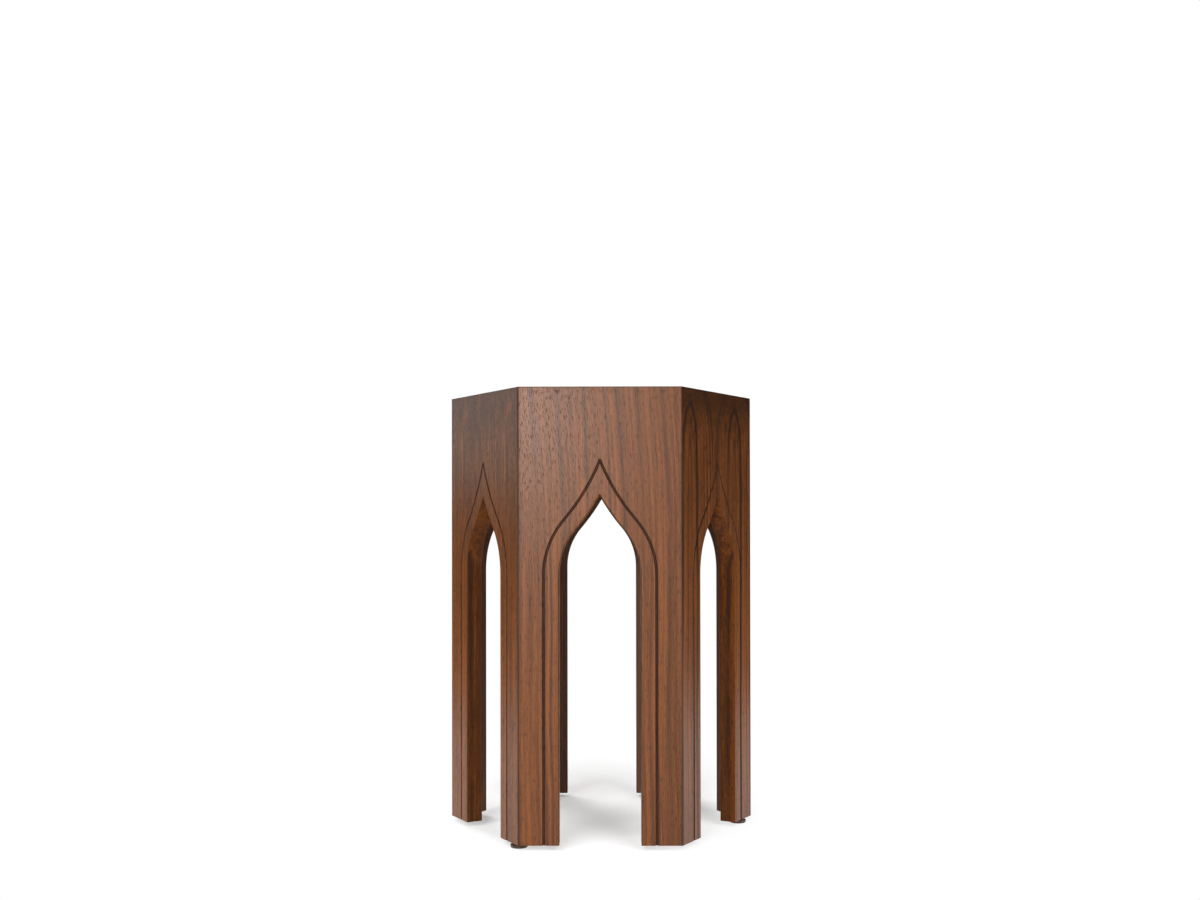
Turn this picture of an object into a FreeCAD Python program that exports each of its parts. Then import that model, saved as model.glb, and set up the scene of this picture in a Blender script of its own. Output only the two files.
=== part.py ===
import FreeCAD, Part
import math
import os

# Hexagonal tabouret: six veneered panels mitred into a drum, each cut with a pointed ogee arch that leaves
# folded legs at the corners, a mitred top, and levelling glides under every second leg.
# Millimetres, +Z up. The origin is on the floor under the centre; the front face looks along -Y.

Vector = FreeCAD.Vector

# Names: panels run anticlockwise from the front, and each corner is at the right-hand end of its panel
PANEL_NAMES = ("front", "front_right", "back_right", "back", "back_left", "front_left")
CORNER_NAMES = ("right_front", "right", "right_back", "left_back", "left", "left_front")
GLIDE_CORNERS = ("right", "left_back", "left_front")  # every second leg

# Drum
FACE_WIDTH = 177.8  # one side of the hexagon, between its outer corners
PANEL_THICKNESS = 19.05
TOP_THICKNESS = 19.05
BODY_HEIGHT = 495.9  # leg bottoms to top surface

# Arch: upright jambs, haunch arcs that lean in, then reversed head arcs that meet in a point
ARCH_WIDTH = 88.9
SPRING_HEIGHT = 291.4  # leg bottoms to the start of the haunches
HAUNCH_RADIUS = 77.1
HEAD_RADIUS = 247.4
POINT_HALF_ANGLE = 30.0  # degrees between each head arc and the upright at the point
LIPPING_THICKNESS = 3.2

# Groove that follows the arch on the outer face
GROOVE_OFFSET = 16.7  # arch edge to groove centre line
GROOVE_WIDTH = 3.2
GROOVE_DEPTH = 2.0

# Loose splines in the vertical mitres
SPLINE_THICKNESS = 4.0
SPLINE_WIDTH = 16.0
SPLINE_SETBACK = 12.5  # outer corner to spline centre, along the mitre
SPLINE_FOOT_COVER = 12.0  # above the glide bore
SPLINE_TOP_COVER = 12.0  # below the underside of the top
SPLINE_CLEARANCE = 0.1

# Cleats under the top and their slotted wood screws
CLEAT_WIDTH = 19.0
CLEAT_HEIGHT = 19.0
CLEAT_END_CLEARANCE = 0.4
SIDE_SCREW_SPACING = 100.0
TOP_SCREW_SPACING = 50.0
SCREW_GRIP = 11.0  # length held in the panel or the top
SCREW_RADIUS = 2.1
SCREW_HEAD_RADIUS = 4.1
SCREW_HEAD_HEIGHT = 2.6
SCREW_TIP_LENGTH = 4.0
SCREW_SLOT_WIDTH = 1.0
SCREW_SLOT_DEPTH = 1.0
SCREW_CLEARANCE = 0.05

# Levelling glides
GLIDE_INSET = 16.6  # outer corner to glide axis, along the face
GLIDE_TRAVEL = 12.0
PAD_RADIUS = 9.5
PAD_HEIGHT = 3.5
PAD_FLOOR = 1.0
PAD_FOOT_ROUND = 1.2
PAD_RIM_ROUND = 0.5
DISC_RADIUS = 4.5
DISC_HEIGHT = 1.2
NECK_RADIUS = 2.5
GLIDE_PLAY = 0.05
COLLAR_ACROSS_FLATS = 10.0
COLLAR_SIDES = 6
COLLAR_HEIGHT = 1.9
COLLAR_GAP = 0.3  # collar to insert with the glide screwed home
STEM_RADIUS = 3.0
STEM_CHAMFER = 0.8
THREAD_CLEARANCE = 0.05
INSERT_RADIUS = 4.75
INSERT_LENGTH = 13.0
INSERT_CLEARANCE = 0.05
INSERT_SLOT_WIDTH = 1.4
INSERT_SLOT_DEPTH = 1.6
STEM_BORE_CLEARANCE = 0.6
STEM_BORE_END = 2.0  # free depth above the stem

# Cutters run this far past a face that they break through
OVERRUN = 2.0

# Worked-out places
SIDES = len(PANEL_NAMES)
HALF_SECTOR = math.pi / SIDES
MITRE_SLOPE = math.tan(HALF_SECTOR)
APOTHEM = FACE_WIDTH / 2 / MITRE_SLOPE
CORNER_RADIUS = FACE_WIDTH / 2 / math.sin(HALF_SECTOR)
OUTER_FACE = -APOTHEM
INNER_FACE = OUTER_FACE + PANEL_THICKNESS
INNER_WIDTH = FACE_WIDTH - 2 * PANEL_THICKNESS * MITRE_SLOPE
DISC_BOTTOM = PAD_FLOOR + GLIDE_PLAY
DISC_TOP = DISC_BOTTOM + DISC_HEIGHT
COLLAR_BOTTOM = PAD_HEIGHT + GLIDE_PLAY
COLLAR_TOP = COLLAR_BOTTOM + COLLAR_HEIGHT
LEG_BOTTOM = COLLAR_TOP + COLLAR_GAP
STEM_TOP = LEG_BOTTOM + INSERT_LENGTH + GLIDE_TRAVEL
STEM_BORE_TOP = STEM_TOP + STEM_BORE_END
TOP_SURFACE = LEG_BOTTOM + BODY_HEIGHT
TOP_UNDERSIDE = TOP_SURFACE - TOP_THICKNESS
CLEAT_BOTTOM = TOP_UNDERSIDE - CLEAT_HEIGHT
CLEAT_FACE = INNER_FACE + CLEAT_WIDTH
CLEAT_LENGTH = INNER_WIDTH - 2 * CLEAT_END_CLEARANCE
SPRING_LEVEL = LEG_BOTTOM + SPRING_HEIGHT
GLIDE_X = FACE_WIDTH / 2 - GLIDE_INSET
GLIDE_Y = OUTER_FACE + PANEL_THICKNESS / 2


def turned(shape, index):
    """Copy of a shape made at the front face, turned round the drum to the panel with this index."""
    copy = shape.copy()
    copy.rotate(Vector(0, 0, 0), Vector(0, 0, 1), index * math.degrees(2 * HALF_SECTOR))
    return copy


def flat_sided_solid(lower, upper):
    """Solid between two polygons with matching corners, flat on every side."""
    loops = [lower, upper]
    for here in range(len(lower)):
        beyond = (here + 1) % len(lower)
        loops.append([lower[here], lower[beyond], upper[beyond], upper[here]])
    faces = [Part.Face(Part.makePolygon(loop + loop[:1])) for loop in loops]
    shell = Part.makeShell(faces)
    shell.sewShape()
    solid = Part.makeSolid(shell)
    if solid.Volume < 0:
        solid.reverse()
    return solid


def revolved(profile):
    """Solid of revolution about Z from (radius, height) points that start and end on the axis."""
    points = [Vector(radius, 0, height) for radius, height in profile]
    face = Part.Face(Part.makePolygon(points + points[:1]))
    return face.revolve(Vector(0, 0, 0), Vector(0, 0, 1), 360)


def cylinder(radius, bottom, top, x=0.0, y=0.0):
    return Part.makeCylinder(radius, top - bottom, Vector(x, y, bottom))


def hexagon(apothem, level):
    """Corners of the drum's hexagon with this apothem, starting at the left end of the front face."""
    corners = []
    for index in range(SIDES):
        angle = (2 * index - 1) * HALF_SECTOR - math.pi / 2
        radius = apothem / math.cos(HALF_SECTOR)
        corners.append(Vector(radius * math.cos(angle), radius * math.sin(angle), level))
    return corners


def half_ogee(offset, side, foot_level):
    """Edges of half an arch from its foot to its point, moved outwards by an offset.

    side is 1 for the right half and -1 for the left. The haunch arc has its centre level with the spring, and
    the head arc touches it from outside, so an offset adds to one radius and comes off the other.
    """
    haunch_radius = HAUNCH_RADIUS + offset
    head_radius = HEAD_RADIUS - offset
    haunch_centre_x = ARCH_WIDTH / 2 - HAUNCH_RADIUS
    head_centre_x = HEAD_RADIUS * math.cos(math.radians(POINT_HALF_ANGLE))
    turn = math.acos((head_centre_x - haunch_centre_x) / (HAUNCH_RADIUS + HEAD_RADIUS))
    head_centre_z = SPRING_LEVEL + (HAUNCH_RADIUS + HEAD_RADIUS) * math.sin(turn)
    point_angle = math.acos(head_centre_x / head_radius)

    def on_haunch(angle):
        x = haunch_centre_x + haunch_radius * math.cos(angle)
        return Vector(side * x, 0, SPRING_LEVEL + haunch_radius * math.sin(angle))

    def on_head(angle):
        x = head_centre_x - head_radius * math.cos(angle)
        return Vector(side * x, 0, head_centre_z - head_radius * math.sin(angle))

    foot = Vector(side * (ARCH_WIDTH / 2 + offset), 0, foot_level)
    point = Vector(0, 0, on_head(point_angle).z)
    jamb = Part.makeLine(foot, on_haunch(0))
    haunch = Part.Arc(on_haunch(0), on_haunch(turn / 2), on_haunch(turn)).toShape()
    head = Part.Arc(on_haunch(turn), on_head((turn + point_angle) / 2), point).toShape()
    return [jamb, haunch, head]


def ends_joined(first, second):
    """Edges of two half arches and the two straight lines that join their feet and their points."""
    feet = Part.makeLine(first[0].Vertexes[0].Point, second[0].Vertexes[0].Point)
    points = [first[-1].Vertexes[-1].Point, second[-1].Vertexes[-1].Point]
    edges = first + second + [feet]
    if points[0].distanceToPoint(points[1]) > Part.Precision.confusion():
        edges.append(Part.makeLine(*points))
    return edges


def thick_outline(edges, near, far):
    """Solid of an outline in the XZ plane, between two distances along Y."""
    wire = Part.Wire(Part.__sortEdges__(edges))
    wire.translate(Vector(0, near, 0))
    return Part.Face(wire).extrude(Vector(0, far - near, 0))


def arch_cutter():
    """Through cut for the arch and its lippings."""
    halves = [half_ogee(LIPPING_THICKNESS, side, LEG_BOTTOM - OVERRUN) for side in (1, -1)]
    return thick_outline(ends_joined(*halves), OUTER_FACE - OVERRUN, INNER_FACE + OVERRUN)


def arch_lipping(side):
    """Solid strip that lines half the arch, from the foot of the leg to the point."""
    edges = [half_ogee(offset, side, LEG_BOTTOM) for offset in (0.0, LIPPING_THICKNESS)]
    return thick_outline(ends_joined(*edges), OUTER_FACE, INNER_FACE)


def groove_cutter(side):
    """Half of the groove, from below the leg to its own point above the arch."""
    offsets = (GROOVE_OFFSET - GROOVE_WIDTH / 2, GROOVE_OFFSET + GROOVE_WIDTH / 2)
    edges = [half_ogee(offset, side, LEG_BOTTOM - OVERRUN) for offset in offsets]
    return thick_outline(ends_joined(*edges), OUTER_FACE - OVERRUN, OUTER_FACE + GROOVE_DEPTH)


def corner_spline(index, grow):
    """Loose tongue across the mitre at the right-hand end of a panel, grown on every side to cut its slot."""
    thickness = SPLINE_THICKNESS + 2 * grow
    width = SPLINE_WIDTH + 2 * grow
    bottom = STEM_BORE_TOP + SPLINE_FOOT_COVER - grow
    top = TOP_UNDERSIDE - SPLINE_TOP_COVER + grow
    corner = Vector(CORNER_RADIUS - SPLINE_SETBACK - thickness / 2, -width / 2, bottom)
    tongue = Part.makeBox(thickness, width, top - bottom, corner)
    tongue.rotate(Vector(0, 0, 0), Vector(0, 0, 1), math.degrees(HALF_SECTOR) - 90)
    return turned(tongue, index)


def screw_blank(length, grow):
    """Countersunk wood screw pointing along +Z with its head at zero, grown to cut its hole."""
    return revolved([
        (0, 0),
        (SCREW_HEAD_RADIUS + grow, 0),
        (SCREW_RADIUS + grow, SCREW_HEAD_HEIGHT),
        (SCREW_RADIUS + grow, length - SCREW_TIP_LENGTH + grow),
        (0, length + grow),
    ])


def wood_screw(length):
    slot_length = 2 * SCREW_HEAD_RADIUS
    slot_corner = Vector(-slot_length / 2, -SCREW_SLOT_WIDTH / 2, 0)
    slot = Part.makeBox(slot_length, SCREW_SLOT_WIDTH, SCREW_SLOT_DEPTH, slot_corner)
    return screw_blank(length, 0.0).cut(slot)


def side_screw_places(screw):
    """Two copies of a screw through the front cleat into the front panel, pointing outwards."""
    screw = screw.copy()
    screw.rotate(Vector(0, 0, 0), Vector(1, 0, 0), 90)
    level = CLEAT_BOTTOM + CLEAT_HEIGHT / 2
    return spaced_pair(screw, SIDE_SCREW_SPACING, CLEAT_FACE, level)


def top_screw_places(screw):
    """Two copies of a screw through the front cleat up into the top."""
    return spaced_pair(screw, TOP_SCREW_SPACING, INNER_FACE + CLEAT_WIDTH / 2, CLEAT_BOTTOM)


def spaced_pair(shape, spacing, y, z):
    return [shape.translated(Vector(side * spacing / 2, y, z)) for side in (-1, 1)]


def side_screw_holes():
    return side_screw_places(screw_blank(CLEAT_WIDTH + SCREW_GRIP, SCREW_CLEARANCE))


def top_screw_holes():
    return top_screw_places(screw_blank(CLEAT_HEIGHT + SCREW_GRIP, SCREW_CLEARANCE))


def glide_bore():
    """Stepped hole up the right-hand leg of a panel: the insert's seat, then room for the stem."""
    insert_seat = cylinder(
        INSERT_RADIUS + INSERT_CLEARANCE, LEG_BOTTOM - OVERRUN, LEG_BOTTOM + INSERT_LENGTH, GLIDE_X, GLIDE_Y
    )
    stem_room = cylinder(STEM_RADIUS + STEM_BORE_CLEARANCE, LEG_BOTTOM, STEM_BORE_TOP, GLIDE_X, GLIDE_Y)
    return insert_seat.fuse(stem_room)


def side_panel():
    """Front panel: mitred at both ends and along the top, with its arch, groove, spline slots and holes."""
    outer = FACE_WIDTH / 2
    inner = INNER_WIDTH / 2
    plan = [(-outer, OUTER_FACE), (outer, OUTER_FACE), (inner, INNER_FACE), (-inner, INNER_FACE)]
    levels = [TOP_SURFACE, TOP_SURFACE, TOP_UNDERSIDE, TOP_UNDERSIDE]
    lower = [Vector(x, y, LEG_BOTTOM) for x, y in plan]
    upper = [Vector(x, y, level) for (x, y), level in zip(plan, levels)]
    slots = [corner_spline(index, SPLINE_CLEARANCE) for index in (0, -1)]
    grooves = [groove_cutter(side) for side in (1, -1)]
    return flat_sided_solid(lower, upper).cut([arch_cutter()] + grooves + slots + side_screw_holes())


def top_panel():
    """Hexagonal board, mitred round its edge to meet the panels."""
    lower = hexagon(APOTHEM - PANEL_THICKNESS, TOP_UNDERSIDE)
    upper = hexagon(APOTHEM, TOP_SURFACE)
    holes = [turned(hole, index) for index in range(SIDES) for hole in top_screw_holes()]
    return flat_sided_solid(lower, upper).cut(holes)


def top_cleat():
    """Strip under the top along the front panel, mitred at its ends, with countersunk screw holes."""
    outer = CLEAT_LENGTH / 2
    inner = outer - CLEAT_WIDTH * MITRE_SLOPE
    plan = [(-outer, INNER_FACE), (outer, INNER_FACE), (inner, CLEAT_FACE), (-inner, CLEAT_FACE)]
    lower = [Vector(x, y, CLEAT_BOTTOM) for x, y in plan]
    upper = [Vector(x, y, TOP_UNDERSIDE) for x, y in plan]
    return flat_sided_solid(lower, upper).cut(side_screw_holes() + top_screw_holes())


def threaded_insert():
    """Metal bush in the foot of the leg, slotted for the tool that drives it in."""
    top = LEG_BOTTOM + INSERT_LENGTH
    body = cylinder(INSERT_RADIUS, LEG_BOTTOM, top, GLIDE_X, GLIDE_Y)
    bore = cylinder(STEM_RADIUS + THREAD_CLEARANCE, LEG_BOTTOM - OVERRUN, top + OVERRUN, GLIDE_X, GLIDE_Y)
    slot_length = 2 * INSERT_RADIUS
    slot_corner = Vector(GLIDE_X - slot_length / 2, GLIDE_Y - INSERT_SLOT_WIDTH / 2, LEG_BOTTOM - OVERRUN)
    slot = Part.makeBox(slot_length, INSERT_SLOT_WIDTH, OVERRUN + INSERT_SLOT_DEPTH, slot_corner)
    return body.cut([bore, slot])


def glide_stem():
    """Threaded stem with a hexagonal collar, a neck and a disc that turns inside the pad."""
    collar_radius = COLLAR_ACROSS_FLATS / 2 / math.cos(math.pi / COLLAR_SIDES)
    corners = []
    for index in range(COLLAR_SIDES):
        angle = 2 * math.pi * index / COLLAR_SIDES
        corners.append(Vector(collar_radius * math.cos(angle), collar_radius * math.sin(angle), COLLAR_BOTTOM))
    collar = Part.Face(Part.makePolygon(corners + corners[:1])).extrude(Vector(0, 0, COLLAR_HEIGHT))
    spindle = revolved([
        (0, DISC_BOTTOM),
        (DISC_RADIUS, DISC_BOTTOM),
        (DISC_RADIUS, DISC_TOP),
        (NECK_RADIUS, DISC_TOP),
        (NECK_RADIUS, COLLAR_BOTTOM),
        (STEM_RADIUS, COLLAR_BOTTOM),
        (STEM_RADIUS, STEM_TOP - STEM_CHAMFER),
        (STEM_RADIUS - STEM_CHAMFER, STEM_TOP),
        (0, STEM_TOP),
    ])
    return spindle.fuse(collar).removeSplitter().translated(Vector(GLIDE_X, GLIDE_Y, 0))


def rounded_rim(solid, level, radius):
    """Round over the circular edge of a solid at this level."""
    circles = [edge for edge in solid.Edges if isinstance(edge.Curve, Part.Circle)]
    rims = [edge for edge in circles if abs(edge.Curve.Center.z - level) < Part.Precision.confusion()]
    return solid.makeFillet(radius, rims)


def glide_pad():
    """Round nylon foot with a hollow that holds the stem's disc."""
    pad = cylinder(PAD_RADIUS, 0, PAD_HEIGHT)
    pad = rounded_rim(pad, 0, PAD_FOOT_ROUND)
    pad = rounded_rim(pad, PAD_HEIGHT, PAD_RIM_ROUND)
    hollow = cylinder(DISC_RADIUS + GLIDE_PLAY, PAD_FLOOR, DISC_TOP + GLIDE_PLAY)
    neck_hole = cylinder(NECK_RADIUS + GLIDE_PLAY, PAD_FLOOR, PAD_HEIGHT + OVERRUN)
    return pad.cut([hollow, neck_hole]).translated(Vector(GLIDE_X, GLIDE_Y, 0))


def all_round(shapes):
    """Compound of shapes made at the front face, repeated at every panel."""
    return Part.makeCompound([turned(shape, index) for index in range(SIDES) for shape in shapes])


def write(name, shape):
    shape.exportStep(os.path.join("parts", name + ".step"))


def main():
    os.makedirs("parts", exist_ok=True)
    write("top_panel", top_panel())
    plain_panel = side_panel()
    bored_panel = plain_panel.cut(glide_bore())
    for index, name in enumerate(PANEL_NAMES):
        has_glide = CORNER_NAMES[index] in GLIDE_CORNERS
        panel = bored_panel if has_glide else plain_panel
        write("side_panel_" + name, turned(panel, index))
        write("left_lipping_" + name, turned(arch_lipping(-1), index))
        write("right_lipping_" + name, turned(arch_lipping(1), index))
        write("top_cleat_" + name, turned(top_cleat(), index))
    for index, name in enumerate(CORNER_NAMES):
        write("corner_spline_" + name, corner_spline(index, 0.0))
    write("cleat_side_screws", all_round(side_screw_places(wood_screw(CLEAT_WIDTH + SCREW_GRIP))))
    write("cleat_top_screws", all_round(top_screw_places(wood_screw(CLEAT_HEIGHT + SCREW_GRIP))))
    for corner in GLIDE_CORNERS:
        index = CORNER_NAMES.index(corner)
        write("threaded_insert_" + corner, turned(threaded_insert(), index))
        write("glide_stem_" + corner, turned(glide_stem(), index))
        write("glide_pad_" + corner, turned(glide_pad(), index))


main()
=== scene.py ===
import math
from collections import namedtuple

import bmesh
import bpy
import numpy as np
from bpy.props import FloatProperty, FloatVectorProperty, PointerProperty
from mathutils import Euler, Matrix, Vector
from mathutils.geometry import tessellate_polygon


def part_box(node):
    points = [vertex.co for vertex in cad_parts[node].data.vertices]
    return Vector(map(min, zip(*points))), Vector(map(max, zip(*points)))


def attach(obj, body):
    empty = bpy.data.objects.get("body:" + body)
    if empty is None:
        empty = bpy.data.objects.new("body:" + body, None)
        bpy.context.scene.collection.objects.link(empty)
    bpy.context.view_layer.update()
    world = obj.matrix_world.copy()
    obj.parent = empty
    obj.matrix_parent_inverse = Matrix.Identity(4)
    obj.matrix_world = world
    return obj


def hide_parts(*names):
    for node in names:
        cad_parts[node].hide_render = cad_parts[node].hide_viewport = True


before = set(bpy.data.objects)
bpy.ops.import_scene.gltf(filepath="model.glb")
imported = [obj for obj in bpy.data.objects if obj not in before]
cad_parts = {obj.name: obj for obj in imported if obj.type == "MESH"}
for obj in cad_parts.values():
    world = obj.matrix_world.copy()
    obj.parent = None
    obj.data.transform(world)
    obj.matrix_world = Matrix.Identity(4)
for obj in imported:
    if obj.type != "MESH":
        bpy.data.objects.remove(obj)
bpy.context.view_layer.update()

bl_info = {
    "name": "Hexagonal Arched Tabouret",
    "version": (1, 0, 0),
    "blender": (4, 5, 0),
    "location": "View3D > Sidebar > Tabouret",
    "description": "Veneered panels, arch lippings, top, glides and studio of a hexagonal walnut table",
    "category": "Object",
}

MM = 0.001

# Panels run anticlockwise from the front; each glide stands at the right-hand end of its panel
PANEL_NAMES = ("front", "front_right", "back_right", "back", "back_left", "front_left")
GLIDE_PANELS = {"front_right": "right", "back": "left_back", "front_left": "left_front"}
SIDES = len(PANEL_NAMES)
SECTOR = 2 * math.pi / SIDES
HALF_CORNER = SECTOR / 2  # half the turn from one face to the next
HALF_TOP_EDGE = math.pi / 4  # half the turn from a face to the top
PANEL_LOW, PANEL_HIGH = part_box("side_panel_front")
TOP_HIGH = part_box("top_panel")[1]

# Stations along half an arch: foot, spring, end of the haunch, point, and the turn round the groove's point
FOOT, SPRING, HAUNCH_END, POINT, TURNED = 0.0, 1.0, 2.0, 3.0, 4.0
CORNER_STATION = 2.5  # the station that fans out to the panel's top corner
SHOULDER_SHARE = 0.5  # the end of the haunch fans out this far up from the spring to the top

# Steps of the grids
JAMB_STEPS, HAUNCH_STEPS, HEAD_STEPS, TURN_STEPS = 12, 18, 24, 6
ARRIS_STEPS = 4
GROOVE_STEPS = 12
FIELD_STEPS = 12  # rows over the flat field, close enough for the figure's curves
TOP_SIDE_STEPS = 8
BORE_STEPS = 32
PAD_STEPS = 64
PAD_ROUND_STEPS = 5
STEM_STEPS = 72
CURTAIN_STEPS = 23

# Rows on the flat beside an edge, which keep its shading close to it
SUPPORT = 0.4 * MM
LEAD_IN = (3.0 * MM, 1.2 * MM, SUPPORT)
ROWS_BEFORE_GROOVE = 3  # inner face, outer face and support

# Points this close, in metres, become one, and folds sharper than this stay crisp
MERGE_WITHIN = 1e-7
SHARP_FOLD = math.radians(28.0)

# Material slots of a board and of a lipping
OUTSIDE, INSIDE = 0, 1
REVEAL, FACE, BACK = 0, 1, 2

# Groove section: power 2 is a half round, and more is squarer
GROOVE_POWER = 2.6

# Share of the dark stain colour, from 0 to 1: painted shade in the groove, steep from its lip, and along the
# edges
GROOVE_SHADE_POWER = 0.25
# Painted light: the groove's painted shade is lifted towards its bottom, as if lit there
GROOVE_BOTTOM_LIGHT, GROOVE_BOTTOM_LIGHT_POWER = 0.15, 3
# Along the corners: a dark mitre joint line, partly painted shade; the top edges take a share of it
LEAD_IN_STAIN_AND_SHADE = (0.0, 0.1, 0.4)
CORNER_STAIN_AND_SHADE = 0.85
# The corners' darkening is partly stain at the joint and partly painted shade
TOP_EDGE_SHARE = 0.5  # of the corners' stain
LIPPING_STAIN = 0.55

# Glides, in millimetres
INSERT_BORE, INSERT_DEPTH = 4.8, 13.0
STEM_BORE, STEM_BORE_DEPTH = 3.6, 27.0
PAD_RADIUS, PAD_HEIGHT = 9.5, 3.5
PAD_FOOT_ROUND, PAD_RIM_ROUND = 1.2, 0.5
PAD_FOOT_ROWS = (0.0, 4.0, 8.0)  # rings over the flat underside
PAD_TOP_ROWS = (8.6, 2.9)  # rings over the flat top
NECK_HOLE, NECK_HOLE_ROUND = 2.55, 0.3
SEAT_RADIUS, SEAT_LOW, SEAT_HIGH = 4.55, 1.0, 2.3
DISC_RADIUS, DISC_LOW, DISC_HIGH, DISC_CHAMFER = 4.5, 1.05, 2.25, 0.2
NECK_RADIUS = 2.5
COLLAR_FLATS, COLLAR_HALF_WIDTH = 6, 5.0
COLLAR_LOW, COLLAR_HIGH, COLLAR_CHAMFER = 3.55, 5.45, 0.3
STEM_TOP = 30.75
THREAD_RADIUS, THREAD_DEPTH, THREAD_PITCH = 3.0, 0.6, 1.0
THREAD_END_RADIUS, THREAD_END_RISE = 2.3, 0.7
THREAD_ROW = 0.1

# A leaf of veneer: its shift across and along the log, the height at which the slice leaves the ring that its
# cathedral arch follows, how gently it leaves it, and how far it leans at the top, in millimetres; then how
# boldly its lines show
Leaf = namedtuple("Leaf", "across along leave gentleness lean boldness")
# The slice's depth also darkens the tone towards the heartwood; the side leaves leave their rings low, so
# this paints shade towards their tops
LEAVES = {
    "front": Leaf(-9.5, 8600.0, 900.0, 60.0, 10.5, 0.9),
    "front_right": Leaf(-44.6, 700.0, 486.0, 26.0, 0.0, 2.0),
    "back_right": Leaf(12.0, 1500.0, 505.0, 45.0, 6.0, 0.9),
    "back": Leaf(-30.0, 2300.0, 760.0, 70.0, 8.0, 0.8),
    "back_left": Leaf(38.0, 3100.0, 560.0, 60.0, 0.0, 0.8),
    "front_left": Leaf(26.0, 3900.0, 490.0, 110.0, 0.0, 0.45),
    "top": Leaf(10.0, 4700.0, 60.0, 80.0, 0.0, 0.8),
}
LEAN_FADE_MM = 160.0

# A lipping in its log: how far it is stretched across and through it, and its shifts for each side and panel
LOG_ACROSS_STRETCH, LOG_DEPTH_STRETCH = 1.6, 0.9
LOG_SIDE_SHIFT = 31.0 * MM
LOG_DEPTH_SHIFT, LOG_ALONG_SHIFT = 1.0 * MM, 700.0 * MM

# Dark lines across one leaf: place, half width and strength; the inner ones are the same on both sides
LEAF_PITCH_MM = 114.6
INNER_LINES = ((4.5, 2.0, 0.5), (18.0, 3.4, 0.9), (26.5, 2.0, 0.3))
OUTER_LINES = (
    (33.0, 1.9, 0.5), (40.5, 2.3, 0.6), (48.5, 2.8, 0.65), (55.0, 2.2, 0.9),
    (-34.0, 1.4, 0.3), (-39.0, 1.6, 0.4), (-46.5, 7.0, 0.5), (-52.5, 1.5, 0.4),
)
ARCH_RING_MM = 18.0
TIP_POWER = 1.3  # 2 closes a line in a round arch, 1 in a sharp point
# Depth of the slice over which the tone darkens to the heartwood; towards the side leaves' tops this is also
# painted shade
HEART_AND_SHADE_MM = 20.0

# Sizes of the walnut's streaks across, through and along the log, in millimetres
DRIFT_MM = 14.0  # how far the lines wander, over the sizes on the next line
WANDER_MM = (70.0, 70.0, 240.0)
BAND_MM = (16.0, 16.0, 900.0)
STRIPE_MM = (5.0, 5.0, 300.0)
FADE_MM = (22.0, 22.0, 130.0)
FIBRE_MM = (1.0, 1.0, 30.0)  # bundles of fibres, because single ones are too fine to show
PORE_MM = (1.0, 1.0, 7.0)  # real pores are a quarter as wide; drawn as coarse as they need to show

# Share of each part of the figure in the tone, which runs from early to late wood over a range
HEART_AND_SHADE_TONE, BAND_TONE, STRIPE_TONE, FIBRE_TONE, PORE_TONE = 0.5, 0.6, 1.6, 0.9, 0.34
TONE_RANGE = {"From Min": 0.52, "From Max": 1.22}
PORE_RANGE = {"From Min": 0.55, "From Max": 0.7}
FADE_RANGE = {"From Min": 0.35, "From Max": 0.65, "To Min": 0.45, "To Max": 1.0}

# Lacquer over walnut: roughness, how much rougher pores and the stained and shaded places are, specular level
# and IOR
VENEER_ROUGHNESS, VENEER_SPECULAR = 0.33, 0.35
LIPPING_ROUGHNESS, LIPPING_SPECULAR = 0.3, 0.1
PORE_ROUGHER, STAIN_AND_SHADE_ROUGHER = 0.2, 0.4
LACQUER_IOR = 1.45
# The thickest stain colour is painted shade in the grooves and partly along the corners
STAIN_AND_SHADE_COVER = 0.88  # how much of the wood the thickest stain hides
FIBRE_RELIEF = 0.3  # height of the fibres beside the depth of the pores

# Grain of the plain woods along x, y and z
INSIDE_GRAIN = (2.0 * MM, 2.0 * MM, 60.0 * MM)
CLEAT_GRAIN = (60.0 * MM, 2.0 * MM, 2.0 * MM)
PLY_LAYERS = (1.5 * MM, 1.5 * MM, 60.0 * MM)

# Turning marks of the metals and texture of the nylon, a few times as coarse as real ones so that they show
STEEL_MARKS, STEEL_ROUGHNESS = (20.0 * MM, 20.0 * MM, 0.3 * MM), 0.28
BRASS_MARKS, BRASS_ROUGHNESS = (20.0 * MM, 20.0 * MM, 0.4 * MM), 0.25
NYLON_TEXTURE = (0.6 * MM, 0.6 * MM, 0.6 * MM)
SCUFF_HEIGHT = 1.4 * MM

# Settings and sockets that shader nodes share
NOISE_MIDDLE = 0.5
NOISE_SPREAD = {"From Min": 0.3, "From Max": 0.7}  # most of a noise lies between these
MIX_A, MIX_B, MIXED = 6, 7, 2  # colour sockets of a Mix node

# Camera: the lens axis lies below the middle of the picture, which is a vertical shift
CAMERA_PLACE = (10.8 * MM, -1650.1 * MM, 357.6 * MM)
CAMERA_PITCH = math.radians(0.399)
CAMERA_YAW = math.radians(0.411)
CAMERA_ROLL = math.radians(-0.083)
SENSOR_WIDTH_MM = 36.0
IMAGE_WIDTH = 1200
FOCAL_PIXELS = 1384.8
AXIS_BELOW_CENTRE = 60  # pixels

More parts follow.
